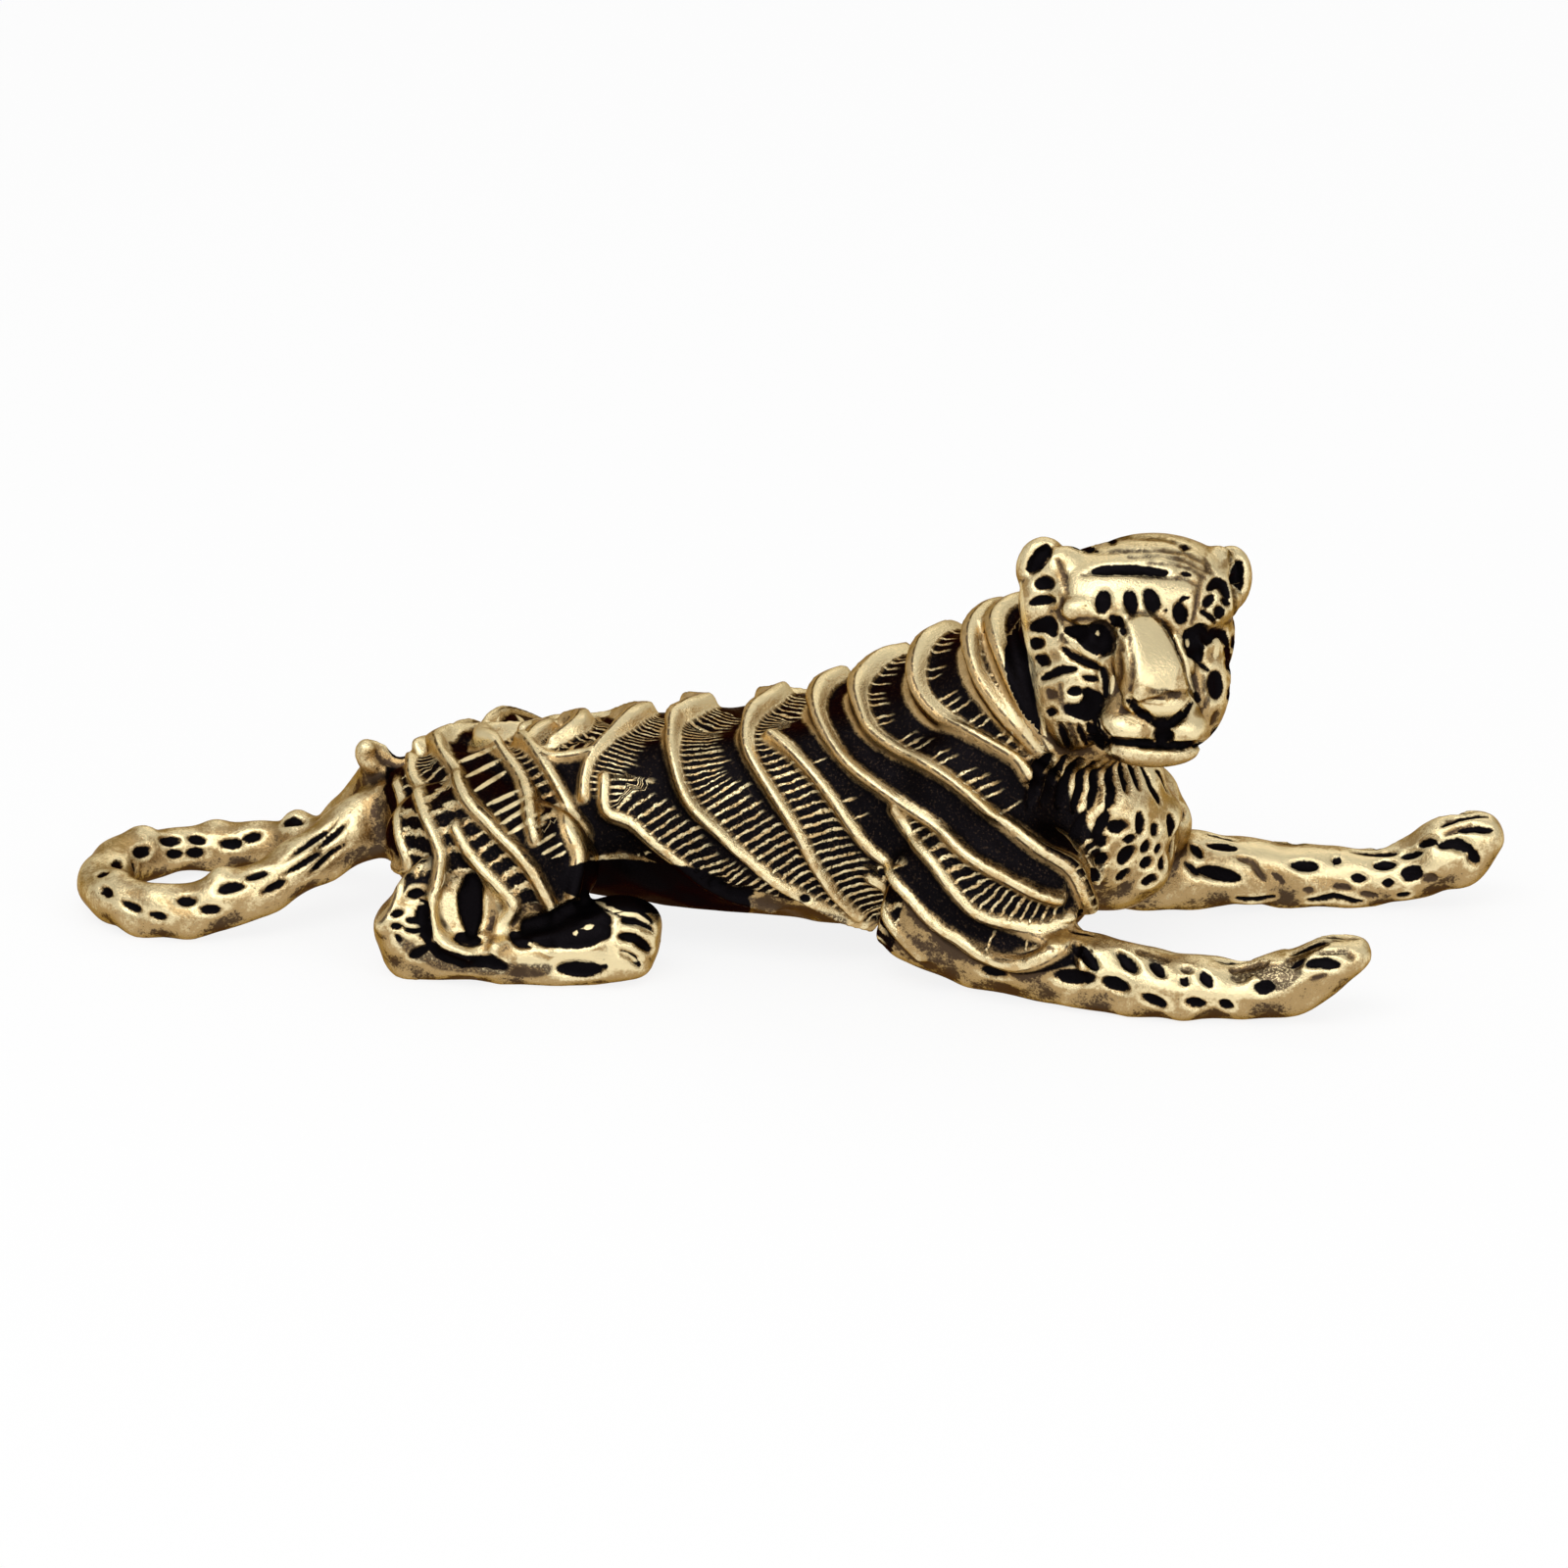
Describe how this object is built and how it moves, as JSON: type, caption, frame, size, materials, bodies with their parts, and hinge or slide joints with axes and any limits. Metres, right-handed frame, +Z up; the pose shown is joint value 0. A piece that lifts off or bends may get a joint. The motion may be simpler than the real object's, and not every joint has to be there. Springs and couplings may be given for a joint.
{
  "type": "tiger figurine",
  "caption": "Cast brass tiger lying down with its head raised and turned to its right, forelegs stretched out, a ridged striped coat and a looped tail.",
  "frame": {"origin": "on the floor plane, below the middle of the figure's bounding box", "axes": "+X from the tail to the head and front paws, +Y towards the tiger's left side, +Z up"},
  "size_m": [0.0909, 0.0294, 0.0285],
  "materials": {
    "aged_brass": "cast brass, rubbed bright on the raised lines and blackened in the hollows"
  },
  "bodies": {
    "root": {"tiger": "aged_brass"}
  },
  "joints": []
}
